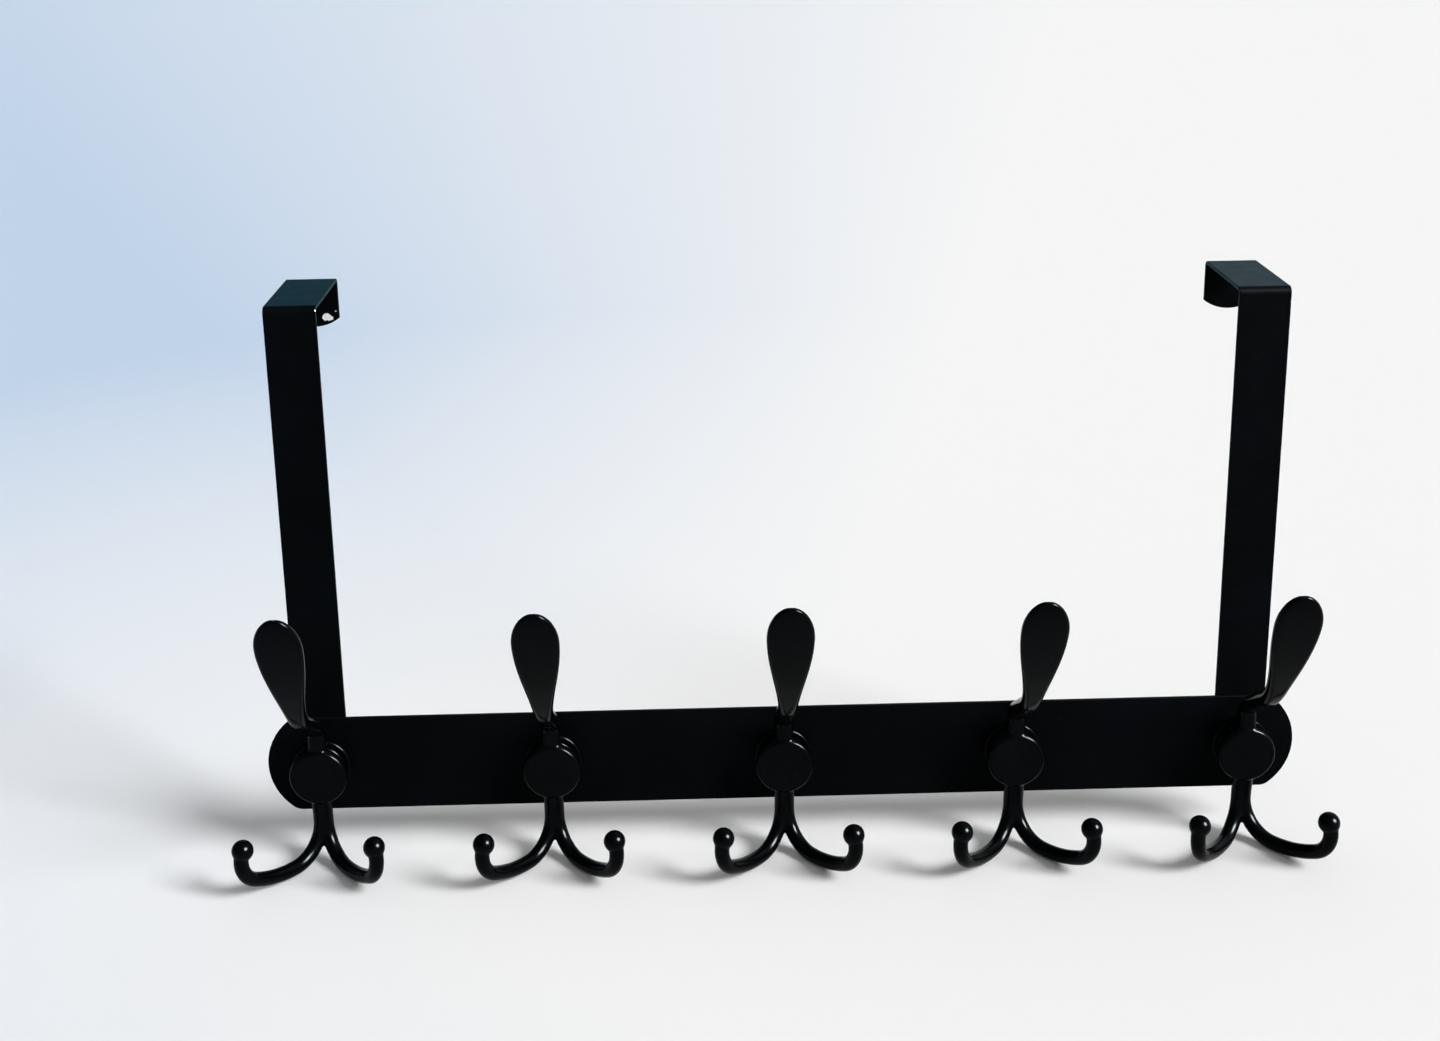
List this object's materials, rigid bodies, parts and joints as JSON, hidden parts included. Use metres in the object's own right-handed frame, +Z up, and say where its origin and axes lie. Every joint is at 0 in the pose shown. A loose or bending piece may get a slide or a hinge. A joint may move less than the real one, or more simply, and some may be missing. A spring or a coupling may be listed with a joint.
{
  "type": "over door hook rack",
  "caption": "Flat rail with cast coat hooks, each with an upper paddle and two balled prongs, hung over the top of a door by two bent flat straps.",
  "frame": {"origin": "centre of the bounding box of the whole rack as it hangs", "axes": "+Z up, +X along the rail, -Y towards the room (the way the hooks point), +Y into the door that the straps hang over"},
  "size_m": [0.4289, 0.1148, 0.227],
  "materials": {
    "rail_paint": "satin black powder coat on a flat steel bar",
    "strap_paint": "satin black powder coat on flat steel strip, with chips down to bare metal on the left flange",
    "hook_paint": "semi-gloss black paint on a metal casting",
    "screw_steel": "zinc-plated steel"
  },
  "bodies": {
    "root": {"rail": "rail_paint", "strap_left": "strap_paint", "strap_right": "strap_paint", "hook_1": "hook_paint", "hook_2": "hook_paint", "hook_3": "hook_paint", "hook_4": "hook_paint", "hook_5": "hook_paint", "hook_screw_1": "screw_steel", "hook_screw_2": "screw_steel", "hook_screw_3": "screw_steel", "hook_screw_4": "screw_steel", "hook_screw_5": "screw_steel"}
  },
  "joints": []
}
